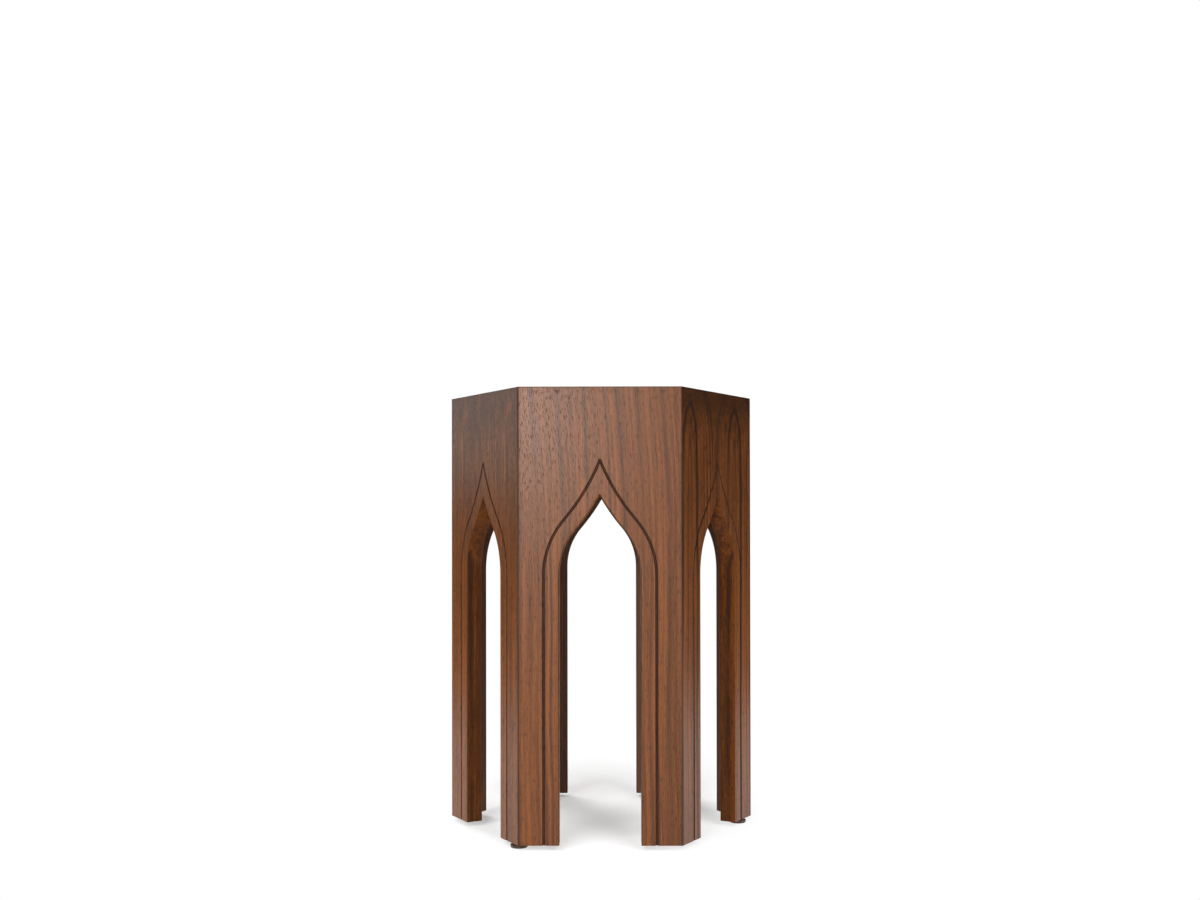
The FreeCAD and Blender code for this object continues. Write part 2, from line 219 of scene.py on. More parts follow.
# Soft lights aimed at the table: azimuth from the front, positive to the right, and elevation in degrees,
# distance and size in metres, power in watts, and what each one lights
Softbox = namedtuple("Softbox", "name azimuth elevation distance size watts lights")
SOFTBOXES = (
    Softbox("key_softbox", -10, 12, 1.9, 0.42, 15.6, "all_but_top"),
    Softbox("right_softbox", 24, 38, 2.4, 0.9, 1.6, "all"),
    Softbox("right_floor_light", 76, -23, 0.55, 0.2, 0.85, "all"),
    Softbox("left_floor_light", -76, -23, 0.55, 0.2, 0.38, "all"),
    Softbox("right_floor_softbox", 32, 35, 2.4, 1.2, 32, "floor_alone"),
    Softbox("left_floor_softbox", -32, 35, 2.4, 1.2, 32, "floor_alone"),
    Softbox("overhead_softbox", 0, 85, 2.0, 1.2, 5, "all"),
    Softbox("right_back_softbox", 145, 40, 2.4, 1.2, 30, "all"),
    Softbox("left_back_softbox", -145, 40, 2.4, 1.2, 30, "all"),
)
AIM_POINT = (0, 0, 0.27)

# Black curtains that darken what the sides reflect: from one azimuth to another, radius and height in metres
Curtain = namedtuple("Curtain", "name start end radius height")
CURTAINS = (
    Curtain("right_curtain", 65, 155, 1.1, 2.5),
    Curtain("left_curtain", -155, -65, 1.1, 0.42),
    Curtain("front_curtain", -75, 52, 3.2, 3.0),
)
FELT_NAP = (1.1 * MM, 1.1 * MM, 1.1 * MM)

# Floor: its half width in metres, its colour, how far it is raised where it is seen, and the oval pool that
# keeps the table's shadow, with the shares of the oval over which it fades to white
FLOOR_REACH = 12.0
FLOOR_COLOUR = "e7e7e7"
FLOOR_LIFT = 0.24
POOL_CENTRE = (-12.0 * MM, 100.0 * MM, 0.0)
POOL_WIDTH, POOL_FRONT, POOL_BACK = 220.0 * MM, 330.0 * MM, 730.0 * MM
POOL_FADE = {"From Min": 0.55, "From Max": 1.02}
SURROUND_LIGHT = 0.04  # strength of the surround's light on the table


def linear(code):
    """Linear colour of an sRGB hex code."""
    values = np.array([int(code[index:index + 2], 16) for index in (0, 2, 4)]) / 255
    return tuple(np.where(values <= 0.04045, values / 12.92, ((values + 0.055) / 1.055) ** 2.4))


def length(name, description, default):
    """A length property in metres."""
    return FloatProperty(name=name, description=description, default=default, unit="LENGTH", precision=5)


def tint(name, description, code):
    """A colour property from an sRGB hex code."""
    return FloatVectorProperty(
        name=name, description=description, default=linear(code), subtype="COLOR", min=0.0, max=1.0
    )


class TabouretSizes(bpy.types.PropertyGroup):
    """Sizes of the drum, its arches and its glides."""

    face_width: length("Face width", "One side of the hexagon", PANEL_HIGH.x - PANEL_LOW.x)
    thickness: length("Board thickness", "Thickness of the sides and the top", PANEL_HIGH.y - PANEL_LOW.y)
    apothem: length("Apothem", "Centre to the middle of a face", -PANEL_LOW.y)
    leg_bottom: length("Leg bottom", "Height of the leg bottoms above the floor", PANEL_LOW.z)
    top_surface: length("Top surface", "Height of the top above the floor", TOP_HIGH.z)
    arch_width: length("Arch width", "Clear width between the jambs", 88.9 * MM)
    spring_height: length("Spring height", "Leg bottoms to the start of the haunches", 291.4 * MM)
    haunch_radius: length("Haunch radius", "Radius of the arcs that lean in", 77.1 * MM)
    head_radius: length("Head radius", "Radius of the reversed arcs that meet in the point", 247.4 * MM)
    point_half_angle: FloatProperty(
        name="Point half angle",
        description="Between each head arc and the upright at the point",
        default=math.radians(30),
        subtype="ANGLE",
    )
    lipping: length("Lipping", "Thickness of the strips that line the arches", 3.2 * MM)
    groove_offset: length("Groove offset", "Arch edge to the groove's centre line", 16.7 * MM)
    groove_width: length("Groove width", "Width of the groove", 3.2 * MM)
    groove_depth: length("Groove depth", "Depth of the groove", 1.9 * MM)
    corner_arris: length("Corner arris", "Radius of the eased upright corners", 1.0 * MM)
    arch_arris: length("Arch arris", "Radius of the eased arch edges", 0.9 * MM)
    glide_inset: length("Glide inset", "Outer corner to the glide's axis, along the face", 16.6 * MM)


class TabouretFinish(bpy.types.PropertyGroup):
    """Colours of the woods, metals and plastic."""

    veneer_light: tint("Veneer, light", "Early wood of the walnut veneer", "97582c")
    veneer_dark: tint("Veneer, dark", "Late wood of the walnut veneer", "52331d")
    veneer_line: tint("Veneer, lines", "Ring lines and pigment streaks", "3c2922")
    solid_light: tint("Lipping, light", "Early wood of the solid walnut", "9f591e")
    solid_dark: tint("Lipping, dark", "Late wood of the solid walnut", "532d11")
    # This colour also paints the shade in the grooves and, in part, along the corners
    stain_and_shade: tint("Stain", "Stain gathered in the groove and along the edges", "22110a")
    backing: tint("Inside", "Plain stained veneer inside the drum", "654431")
    cleat: tint("Cleats", "Stained wood of the cleats", "4a3424")
    birch: tint("Tongues", "Birch plywood of the loose tongues", "d2b48a")
    steel: tint("Steel", "Zinc-plated steel of the screws and stems", "b4b2ac")
    brass: tint("Brass", "Turned brass of the inserts", "c9a45c")
    nylon: tint("Glide", "Moulded nylon of the glides", "4a3424")
    scuff: tint("Scuffs", "Floor dirt rubbed into the foot of the glides", "8f7a68")


class TabouretSettings(bpy.types.PropertyGroup):
    """All settings of the table."""

    sizes: PointerProperty(type=TabouretSizes)
    finish: PointerProperty(type=TabouretFinish)


def put(tree, kind, inputs=None, **settings):
    """Add a node; inputs holds a socket to link or a value to set for each input, settings its properties."""
    node = tree.nodes.new("ShaderNode" + kind)
    for key, value in settings.items():
        setattr(node, key, value)
    for key, value in (inputs or {}).items():
        if isinstance(value, bpy.types.NodeSocket):
            tree.links.new(value, node.inputs[key])
        else:
            node.inputs[key].default_value = value
    return node


def empty_tree(owner):
    """Node tree of a new material or world, with nothing in it."""
    owner.use_nodes = True
    owner.node_tree.nodes.clear()
    return owner.node_tree


def blank_material(name):
    """Material with its shader and its output."""
    material = bpy.data.materials.new(name)
    tree = empty_tree(material)
    shader = put(tree, "BsdfPrincipled")
    put(tree, "OutputMaterial", {"Surface": shader.outputs["BSDF"]})
    return material, tree, shader


def dress(tree, shader, colour, rough, bump):
    """Link a finish's colour, roughness and bump to its shader."""
    tree.links.new(colour, shader.inputs["Base Color"])
    tree.links.new(rough, shader.inputs["Roughness"])
    tree.links.new(bump, shader.inputs["Normal"])


def opaque(colour):
    """A colour with full cover, as colour sockets take it."""
    return (*colour, 1.0)


def ring_lines(tree, distance, low, high, lines):
    """Dark lines over a distance: nought between them, and rising to each one's strength at its place."""
    share = put(tree, "MapRange", {"Value": distance, "From Min": low, "From Max": high}).outputs[0]
    ramp = put(tree, "ValToRGB", {0: share})
    stops = ramp.color_ramp.elements
    stops[0].color = stops[1].color = (0.0, 0.0, 0.0, 1.0)
    for middle, half, strength in lines:
        for shift, level in ((-half, 0.0), (0.0, strength), (half, 0.0)):
            stop = stops.new((middle + shift - low) / (high - low))
            stop.color = (level, level, level, 1.0)
    return ramp.outputs[0]


def streaks(tree, place, sizes, detail, roughness=0.55):
    """Grain, marks or texture as noise with these sizes along x, y and z, in the unit of the place."""
    scale = tuple(1 / size for size in sizes)
    drawn = put(tree, "VectorMath", {0: place, 1: scale}, operation="MULTIPLY").outputs[0]
    noise = put(tree, "TexNoise", {"Vector": drawn, "Scale": 1.0, "Detail": detail, "Roughness": roughness})
    return noise.outputs[0]


# A point in its log: its place, its place on its ring, its distance from the ring's axis, the same with a
# sign for each side, and the depth of the slice
Log = namedtuple("Log", "place ring radius signed depth")


def log_places(tree, attribute):
    """Where a point lies in its log, in millimetres, and how far it is from the ring's axis.

    The attribute gives the distance across the log, the depth of the slice from the axis, and the height.
    Leaves are slip-matched, so the first repeats with the leaf's width, and it wanders slowly. The distance
    from the axis is the root of the sum of powers of the first two, so a line that keeps it runs straight up
    the slice and closes in an arch where the slice moves off. Signed, it tells one side from the other.
    """
    log = put(tree, "Attribute", attribute_name=attribute).outputs["Vector"]
    log = put(tree, "VectorMath", {0: log, "Scale": 1 / MM}, operation="SCALE").outputs[0]
    across, depth, height = put(tree, "SeparateXYZ", {0: log}).outputs
    half_leaf = LEAF_PITCH_MM / 2
    across = put(tree, "Math", {0: across, 1: half_leaf, 2: -half_leaf}, operation="WRAP").outputs[0]
    leaf = put(tree, "CombineXYZ", {0: across, 1: depth, 2: height}).outputs[0]

    drift = streaks(tree, leaf, WANDER_MM, 2.5, 0.42)
    drift = put(tree, "Math", {0: drift, 1: NOISE_MIDDLE}, operation="SUBTRACT").outputs[0]
    drift = put(tree, "Math", {0: drift, 1: DRIFT_MM, 2: across}, operation="MULTIPLY_ADD").outputs[0]
    place = put(tree, "CombineXYZ", {0: drift, 1: depth, 2: height}).outputs[0]

    aside = put(tree, "Math", {0: drift}, operation="ABSOLUTE").outputs[0]
    aside = put(tree, "Math", {0: aside, 1: TIP_POWER}, operation="POWER").outputs[0]
    radius = put(tree, "Math", {0: depth, 1: TIP_POWER}, operation="POWER").outputs[0]
    radius = put(tree, "Math", {0: aside, 1: radius}, operation="ADD").outputs[0]
    radius = put(tree, "Math", {0: radius, 1: 1 / TIP_POWER}, operation="POWER").outputs[0]
    side = put(tree, "Math", {0: drift}, operation="SIGN").outputs[0]
    signed = put(tree, "Math", {0: radius, 1: side}, operation="MULTIPLY").outputs[0]
    ring = put(tree, "CombineXYZ", {0: signed, 2: height}).outputs[0]
    return Log(place, ring, radius, signed, depth)


def walnut_tone(tree, log, fade, fibre, pore):
    """Tone from early to late wood: darker heartwood that also paints shade atop the side leaves, broad
    bands, stripes that come and go, fibres and pores.
    """
    band = streaks(tree, log.ring, BAND_MM, 1.0)
    stripe = streaks(tree, log.place, STRIPE_MM, 3.0)
    stripe = put(tree, "Math", {0: stripe, 1: NOISE_MIDDLE}, operation="SUBTRACT").outputs[0]
    stripe = put(tree, "Math", {0: stripe, 1: fade}, operation="MULTIPLY").outputs[0]
    # Darker with the slice's depth: heartwood, and on the side leaves painted shade towards their tops
    heart_and_shade = {"Value": log.depth, "From Min": 0.0, "From Max": HEART_AND_SHADE_MM, "To Min": 0.0, "To Max": HEART_AND_SHADE_TONE}
    tone = put(tree, "MapRange", heart_and_shade).outputs[0]
    for part, amount in ((band, BAND_TONE), (stripe, STRIPE_TONE), (fibre, FIBRE_TONE), (pore, PORE_TONE)):
        tone = put(tree, "Math", {0: part, 1: amount, 2: tone}, operation="MULTIPLY_ADD").outputs[0]
    return put(tree, "MapRange", {"Value": tone, **TONE_RANGE}).outputs[0]


def walnut_lines(tree, log, fade, boldness):
    """Strength of the ring lines, which come and go and show as boldly as their leaf says."""
    half_leaf = LEAF_PITCH_MM / 2
    inner = ring_lines(tree, log.radius, 0.0, half_leaf, INNER_LINES)
    outer = ring_lines(tree, log.signed, -half_leaf, half_leaf, OUTER_LINES)
    lines = put(tree, "Math", {0: inner, 1: outer}, operation="ADD").outputs[0]
    bold = put(tree, "Attribute", attribute_name=boldness).outputs["Fac"]
    bold = put(tree, "Math", {0: bold, 1: fade}, operation="MULTIPLY").outputs[0]
    return put(tree, "Math", {0: lines, 1: bold}, operation="MULTIPLY", use_clamp=True).outputs[0]


def walnut(name, attribute, light, dark, roughness, specular):
    """Lacquered walnut cut lengthways from a log: ring lines, pigment stripes, fibres and open pores."""
    finish = bpy.context.scene.tabouret.finish
    material, tree, shader = blank_material(name)
    log = log_places(tree, attribute)
    fibre = streaks(tree, log.place, FIBRE_MM, 2.0)
    pore = streaks(tree, log.place, PORE_MM, 1.0)
    pore = put(tree, "MapRange", {"Value": pore, **PORE_RANGE}).outputs[0]
    fade = streaks(tree, log.ring, FADE_MM, 1.0)
    fade = put(tree, "MapRange", {"Value": fade, **FADE_RANGE}).outputs[0]

    tone = walnut_tone(tree, log, fade, fibre, pore)
    early_to_late = {0: tone, MIX_A: opaque(light), MIX_B: opaque(dark)}
    wood = put(tree, "Mix", early_to_late, data_type="RGBA").outputs[MIXED]
    lines = walnut_lines(tree, log, fade, attribute + "_boldness")
    lined = {0: lines, MIX_A: wood, MIX_B: opaque(finish.veneer_line)}
    wood = put(tree, "Mix", lined, data_type="RGBA").outputs[MIXED]
    # Stain colour mixed in: painted shade in the grooves, partly painted shade along the corners, stain along
    # the edges
    stain_and_shade_share = put(tree, "Attribute", attribute_name="pooled_stain").outputs["Fac"]
    stain_and_shade_share = put(tree, "Math", {0: stain_and_shade_share, 1: STAIN_AND_SHADE_COVER}, operation="MULTIPLY").outputs[0]
    stained_and_shaded = {0: stain_and_shade_share, MIX_A: wood, MIX_B: opaque(finish.stain_and_shade)}
    colour = put(tree, "Mix", stained_and_shaded, data_type="RGBA").outputs[MIXED]

    relief = put(tree, "Math", {0: fibre, 1: FIBRE_RELIEF}, operation="MULTIPLY").outputs[0]
    relief = put(tree, "Math", {0: relief, 1: pore}, operation="SUBTRACT").outputs[0]
    bump = put(tree, "Bump", {"Strength": 0.35, "Distance": 0.1 * MM, "Height": relief}).outputs[0]
    rough = {"Value": pore, "To Min": roughness, "To Max": roughness + PORE_ROUGHER}
    rough = put(tree, "MapRange", rough).outputs[0]
    rough = put(tree, "Math", {0: stain_and_shade_share, 1: STAIN_AND_SHADE_ROUGHER, 2: rough}, operation="MULTIPLY_ADD").outputs[0]
    dress(tree, shader, colour, rough, bump)
    shader.inputs["IOR"].default_value = LACQUER_IOR
    shader.inputs["Specular IOR Level"].default_value = specular
    return material


def veneer():
    """Walnut veneer, slip-matched, under satin lacquer: soft broad sheen over fine upright grain."""
    finish = bpy.context.scene.tabouret.finish
    name = "walnut_veneer_satin"
    return bpy.data.materials.get(name) or walnut(
        name, "leaf", finish.veneer_light, finish.veneer_dark, VENEER_ROUGHNESS, VENEER_SPECULAR
    )


def solid_walnut():
    """Solid walnut lipping under the same lacquer: warmer, with figure where the cut crosses the rings."""
    finish = bpy.context.scene.tabouret.finish
    name = "walnut_lipping_satin"
    return bpy.data.materials.get(name) or walnut(
        name, "log", finish.solid_light, finish.solid_dark, LIPPING_ROUGHNESS, LIPPING_SPECULAR
    )


def stained_wood(name, colour, grain, turn=0.0):
    """Close-grained wood under a dark stain: little gloss, with faint grain along the piece."""
    material, tree, shader = blank_material(name)
    place = put(tree, "TexCoord").outputs["Object"]
    place = put(tree, "Mapping", {"Vector": place, "Rotation": (0, 0, -turn)}).outputs[0]
    fibre = streaks(tree, place, grain, 4.0, 0.6)
    shade = put(tree, "MapRange", {"Value": fibre, **NOISE_SPREAD, "To Min": 0.7, "To Max": 1.35}).outputs[0]
    colour = put(tree, "VectorMath", {0: tuple(colour), "Scale": shade}, operation="SCALE").outputs[0]
    rough = put(tree, "MapRange", {"Value": fibre, **NOISE_SPREAD, "To Min": 0.5, "To Max": 0.7}).outputs[0]
    bump = put(tree, "Bump", {"Strength": 0.25, "Distance": 0.1 * MM, "Height": fibre}).outputs[0]
    dress(tree, shader, colour, rough, bump)
    shader.inputs["Specular IOR Level"].default_value = 0.2
    return material


def inside_veneer():
    """Plain walnut veneer inside the drum, stained and left matt, with upright grain."""
    name = "stained_inside_veneer"
    backing = bpy.context.scene.tabouret.finish.backing
    return bpy.data.materials.get(name) or stained_wood(name, backing, INSIDE_GRAIN)


def birch_ply(colour):
    """Birch plywood of the loose tongues: pale, with thin upright layers seen at the cut ends."""
    material, tree, shader = blank_material("birch_plywood")
    place = put(tree, "TexCoord").outputs["Object"]
    fibre = streaks(tree, place, PLY_LAYERS, 3.0, 0.6)
    layer = {"Value": fibre, "From Min": 0.35, "From Max": 0.65, "To Min": 0.82, "To Max": 1.08}
    layer = put(tree, "MapRange", layer).outputs[0]
    colour = put(tree, "VectorMath", {0: tuple(colour), "Scale": layer}, operation="SCALE").outputs[0]
    bump = put(tree, "Bump", {"Strength": 0.3, "Distance": 0.1 * MM, "Height": fibre}).outputs[0]
    tree.links.new(colour, shader.inputs["Base Color"])
    tree.links.new(bump, shader.inputs["Normal"])
    shader.inputs["Roughness"].default_value = 0.7
    return material


def metal(name, colour, roughness, mark_sizes):
    """Bare or plated metal: fine turning marks round an upright axis break its colour and vary its gloss."""
    material, tree, shader = blank_material(name)
    place = put(tree, "TexCoord").outputs["Object"]
    marks = streaks(tree, place, mark_sizes, 3.0, 0.6)
    tone = put(tree, "MapRange", {"Value": marks, **NOISE_SPREAD, "To Min": 0.85, "To Max": 1.1}).outputs[0]
    colour = put(tree, "VectorMath", {0: tuple(colour), "Scale": tone}, operation="SCALE").outputs[0]
    rough = {"Value": marks, **NOISE_SPREAD, "To Min": roughness, "To Max": roughness + 0.15}
    rough = put(tree, "MapRange", rough).outputs[0]
    bump = put(tree, "Bump", {"Strength": 0.2, "Distance": 0.03 * MM, "Height": marks}).outputs[0]
    dress(tree, shader, colour, rough, bump)
    shader.inputs["Metallic"].default_value = 1.0
    return material


def nylon(colour, dirt):
    """Moulded brown nylon: an even colour with a fine texture and floor scuffs low down."""
    material, tree, shader = blank_material("brown_moulded_nylon")
    place = put(tree, "TexCoord").outputs["Object"]
    texture = streaks(tree, place, NYLON_TEXTURE, 2.0, 0.5)
    height = put(tree, "SeparateXYZ", {0: place}).outputs[2]
    scuff = {"Value": height, "From Min": 0.0, "From Max": SCUFF_HEIGHT, "To Min": 0.55, "To Max": 0.0}
    scuff = put(tree, "MapRange", scuff).outputs[0]
    scuff = put(tree, "Math", {0: scuff, 1: texture}, operation="MULTIPLY").outputs[0]
    tone = put(tree, "MapRange", {"Value": texture, **NOISE_SPREAD, "To Min": 0.9, "To Max": 1.1}).outputs[0]
    shade = put(tree, "VectorMath", {0: tuple(colour), "Scale": tone}, operation="SCALE").outputs[0]
    scuffed = {0: scuff, MIX_A: shade, MIX_B: opaque(dirt)}
    shade = put(tree, "Mix", scuffed, data_type="RGBA").outputs[MIXED]
    rough = put(tree, "MapRange", {"Value": scuff, "To Min": 0.35, "To Max": 0.75}).outputs[0]
    bump = put(tree, "Bump", {"Strength": 0.15, "Distance": 0.05 * MM, "Height": texture}).outputs[0]
    dress(tree, shader, shade, rough, bump)
    return material


def turned(points, index):
    """Points made at the front face, turned round the drum to the panel with this index."""
    angle = index * SECTOR
    turn = np.array([
        [math.cos(angle), -math.sin(angle), 0],
        [math.sin(angle), math.cos(angle), 0],
        [0, 0, 1],
    ])
    return points @ turn.T


def grid_quads(rows, columns, close_rows=False, close_columns=False):
    """Corner indices of the quads of a grid, row by row, joined end to end where it closes."""
    row = np.arange(rows if close_rows else rows - 1)[:, None]
    column = np.arange(columns if close_columns else columns - 1)[None, :]
    next_row = (row + 1) % rows
    next_column = (column + 1) % columns
    corners = (
        row * columns + column,
        row * columns + next_column,
        next_row * columns + next_column,
        next_row * columns + column,
    )
    return np.stack([np.broadcast_to(c, (row.size, column.size)) for c in corners], axis=-1).reshape(-1, 4)


def new_piece(name, points, faces, face_slots, materials, attributes=None):
    """Mesh object from points and faces, with merged doubles, outward faces and sharp folds."""
    mesh = bpy.data.meshes.new(name)
    mesh.from_pydata(points.tolist(), [], faces)
    mesh.polygons.foreach_set("material_index", np.asarray(face_slots, dtype=np.int32))
    for key, values in (attributes or {}).items():
        kind = "FLOAT_VECTOR" if values.ndim == 2 else "FLOAT"
        layer = mesh.attributes.new(key, kind, "POINT")
        layer.data.foreach_set("vector" if values.ndim == 2 else "value", values.astype(np.float32).ravel())
    shell = bmesh.new()
    shell.from_mesh(mesh)
    bmesh.ops.remove_doubles(shell, verts=shell.verts, dist=MERGE_WITHIN)
    bmesh.ops.recalc_face_normals(shell, faces=shell.faces)
    shell.to_mesh(mesh)
    shell.free()
    mesh.polygons.foreach_set("use_smooth", np.ones(len(mesh.polygons), dtype=bool))
    mesh.set_sharp_from_angle(angle=SHARP_FOLD)
    for material in materials:
        mesh.materials.append(material)
    piece = bpy.data.objects.new(name, mesh)
    bpy.context.scene.collection.objects.link(piece)
    return piece


def half_arch(sizes, offset, station):
    """Half an ogee arch moved outwards by an offset, as x and z over a grid of offsets and stations.

    Stations 0 to 1 climb the upright jamb. Stations 1 to 2 follow the haunch arc, whose centre is level with
    the spring. Stations 2 to 3 follow the reversed head arc that touches it, and end on the centre line. An
    offset adds to the haunch's radius and comes off the head's. Beyond the groove's centre line the curves
    end beside its point instead, and stations 3 to 4 turn round that point, as the cutter does.
    """
    haunch_x = sizes.arch_width / 2 - sizes.haunch_radius
    head_x = sizes.head_radius * math.cos(sizes.point_half_angle)
    reach = sizes.haunch_radius + sizes.head_radius
    turn = math.acos((head_x - haunch_x) / reach)
    spring = sizes.leg_bottom + sizes.spring_height
    head_z = spring + reach * math.sin(turn)
    haunch_radius = sizes.haunch_radius + offset
    head_radius = sizes.head_radius - offset
    point_radius = sizes.head_radius - np.minimum(offset, sizes.groove_offset)
    point_angle = np.arccos(head_x / point_radius)
    climb = np.clip(station, FOOT, SPRING) * sizes.spring_height
    bend = turn * np.clip(station - SPRING, 0, 1)
    sweep = turn + (point_angle - turn) * np.clip(station - HAUNCH_END, 0, 1)
    on_head = station > HAUNCH_END
    x = np.where(on_head, head_x - head_radius * np.cos(sweep), haunch_x + haunch_radius * np.cos(bend))
    z = np.where(
        on_head,
        head_z - head_radius * np.sin(sweep),
        sizes.leg_bottom + climb + haunch_radius * np.sin(bend),
    )
    beyond = (offset - sizes.groove_offset).clip(0)
    upright = point_angle + (math.pi / 2 - point_angle) * np.clip(station - POINT, 0, 1)
    around = station > POINT
    x = np.where(around, beyond * np.cos(upright), x)
    z = np.where(around, head_z - point_radius * np.sin(point_angle) + beyond * np.sin(upright), z)
    return x, z


def arch_stations():
    """Stations along half an arch, evenly spaced within each of its stretches."""
    jamb = np.linspace(FOOT, SPRING, JAMB_STEPS, endpoint=False)
    haunch = np.linspace(SPRING, HAUNCH_END, HAUNCH_STEPS, endpoint=False)
    head = np.linspace(HAUNCH_END, POINT, HEAD_STEPS, endpoint=False)
    turn = np.linspace(POINT, TURNED, TURN_STEPS + 1)
    return np.concatenate([jamb, haunch, head, turn])


def half_round(radius, half_angle):
    """Half of an eased edge between two faces that turn by twice the half angle.

    Returns the inset along the face and the depth below it, from the tangent line to the mitre plane.
    """
    angle = np.linspace(0, half_angle, ARRIS_STEPS + 1)
    return radius * (math.tan(half_angle) - np.sin(angle)), radius * (1 - np.cos(angle))


def top_round(sizes):
    """Half of the eased edge round the top, as deep at the mitre as the upright corners are."""
    radius = sizes.corner_arris * (1 - math.cos(HALF_CORNER)) / (1 - math.cos(HALF_TOP_EDGE))
    return half_round(radius, HALF_TOP_EDGE)


def led_in(inset, depth):
    """An eased edge with the flat rows that lead in to it, as two columns."""
    inset = np.concatenate([np.add(inset[0], LEAD_IN), inset])
    depth = np.concatenate([np.zeros(len(LEAD_IN)), depth])
    return inset[:, None], depth[:, None]


def groove_section(sizes):
    """Offsets and depths across the groove: a superellipse, steep at its sides and round at its bottom."""
    angle = np.linspace(0, math.pi, GROOVE_STEPS + 1)
    power = 2 / GROOVE_POWER
    half = sizes.groove_width / 2
    offset = sizes.groove_offset - half * np.sign(np.cos(angle)) * np.abs(np.cos(angle)) ** power
    depth = sizes.groove_depth * np.sin(angle).clip(0) ** power
    return offset, depth


def arch_rows(sizes, station):
    """Rows of a panel that are offsets of its arch: inner face, cut, outer face, and across the groove."""
    groove_offset, groove_depth = groove_section(sizes)
    before = [sizes.lipping, sizes.lipping, groove_offset[0] - SUPPORT]
    offset = np.concatenate([before, groove_offset, [groove_offset[-1] + SUPPORT]])
    depth = np.concatenate([[sizes.thickness, 0.0, 0.0], groove_depth, [0.0]])
    x, z = half_arch(sizes, offset[:, None], station)
    return np.stack([x, np.repeat(depth[:, None], station.size, axis=1), z])


def rim_rows(sizes, station):
    """Rows of a panel round its rectangle: over the eased edge, and down the mitre to the inner face.

    The stations fan out to the rectangle: up its side to the top corner, then along its top to the middle.
    """
    half_width = sizes.face_width / 2
    spring = sizes.leg_bottom + sizes.spring_height
    shoulder = spring + SHOULDER_SHARE * (sizes.top_surface - spring)
    knots = (FOOT, SPRING, HAUNCH_END, CORNER_STATION, POINT)
    levels = (sizes.leg_bottom, spring, shoulder, sizes.top_surface, sizes.top_surface)
    edge_x = np.interp(station, knots, (half_width, half_width, half_width, half_width, 0.0))
    edge_z = np.interp(station, knots, levels)
    on_top = station >= CORNER_STATION
    side_inset, side_depth = led_in(*half_round(sizes.corner_arris, HALF_CORNER))
    top_inset, top_depth = led_in(*top_round(sizes))
    x = edge_x - side_inset * (station <= CORNER_STATION)
    z = edge_z - top_inset * on_top
    depth = np.where(on_top, top_depth, side_depth)

    inner_x = edge_x * (1 - sizes.thickness * math.tan(HALF_CORNER) / half_width)
    drop = sizes.thickness / (sizes.top_surface - sizes.leg_bottom)
    inner_z = sizes.leg_bottom + (edge_z - sizes.leg_bottom) * (1 - drop)
    inner = np.stack([inner_x, np.full_like(inner_x, sizes.thickness), inner_z])
    return np.concatenate([np.stack([x, depth, z]), inner], axis=1)


def panel_grid(sizes, station):
    """Closed section of a panel carried round its arch: x, depth and z over a grid of rows and stations.

    Rows go from the inner face at the arch cut, through the cut, over the outer face and its groove as
    offsets of the arch, straight across the field to the panel's rectangle, round the eased edge, and down
    the mitre.
    """
    near = arch_rows(sizes, station)
    rim = rim_rows(sizes, station)
    share = np.linspace(0, 1, FIELD_STEPS + 1)[1:-1, None]
    field = near[:, -1:] + (rim[:, :1] - near[:, -1:]) * share
    return np.concatenate([near, field, rim], axis=1)


def panel_stain_and_shade(sizes, depth, station):
    """Stain and painted shade over a panel: a power of the depth in the groove, and a level for each edge
    row.
    """
    stain_and_shade = np.zeros_like(depth)
    groove = slice(ROWS_BEFORE_GROOVE, ROWS_BEFORE_GROOVE + GROOVE_STEPS + 1)
    sunk = (depth[groove] / sizes.groove_depth).clip(0, 1)
    # Painted shade in the groove, lightened towards its bottom as painted light
    stain_and_shade[groove] = sunk ** GROOVE_SHADE_POWER * (1 - GROOVE_BOTTOM_LIGHT * sunk ** GROOVE_BOTTOM_LIGHT_POWER)
    # Edge rows: the dark joint line along the corners, partly painted shade
    on_corner = np.concatenate([LEAD_IN_STAIN_AND_SHADE, np.full(ARRIS_STEPS + 1, CORNER_STAIN_AND_SHADE)])[:, None]
    edge = slice(-1 - len(on_corner), -1)
    stain_and_shade[edge] = np.where(station <= CORNER_STATION, on_corner, TOP_EDGE_SHARE * on_corner)
    return stain_and_shade


def mirrored(half, sign=1):
    """Whole arch from its right half: the left foot, up to the point, and down to the right foot."""
    return np.concatenate([sign * half, half[:, -2::-1]], axis=1)


def leaf_coordinates(name, x, z):
    """Place of each point in its leaf of veneer: across the log, distance of the slice from the axis, height.

    That distance is nearly nought and grows by the same share with each step along the slice. The lean dies
    away downwards from the top.
    """
    leaf = LEAVES[name]
    height = z / MM
    lean = leaf.lean * np.exp((height - TOP_HIGH.z / MM) / LEAN_FADE_MM)
    across = x / MM + leaf.across + lean
    depth = ARCH_RING_MM * np.exp((height - leaf.leave) / leaf.gentleness)
    return np.stack([across, depth, height + leaf.along], axis=-1).reshape(-1, 3) * MM


def filled(points, ring, hole, first_hole):
    """Triangles of the flat outline of a ring of points, less a hole that counts on from first_hole."""
    outlines = [[Vector(point) for point in points[ring]]]
    if len(hole):
        outlines.append([Vector(point) for point in hole])
    index = list(ring) + list(range(first_hole, first_hole + len(hole)))
    return [[index[i] for i in corner] for corner in tessellate_polygon(outlines)]


def turned_profile(profile, steps):
    """Grid of points from a profile of (radius, height) rows, turned once round an upright axis."""
    angle = np.linspace(0, 2 * math.pi, steps, endpoint=False)
    radius, height = profile[:, :1], profile[:, 1:]
    return np.stack([
        radius * np.cos(angle), radius * np.sin(angle), np.repeat(height, steps, axis=1),
    ], axis=-1)


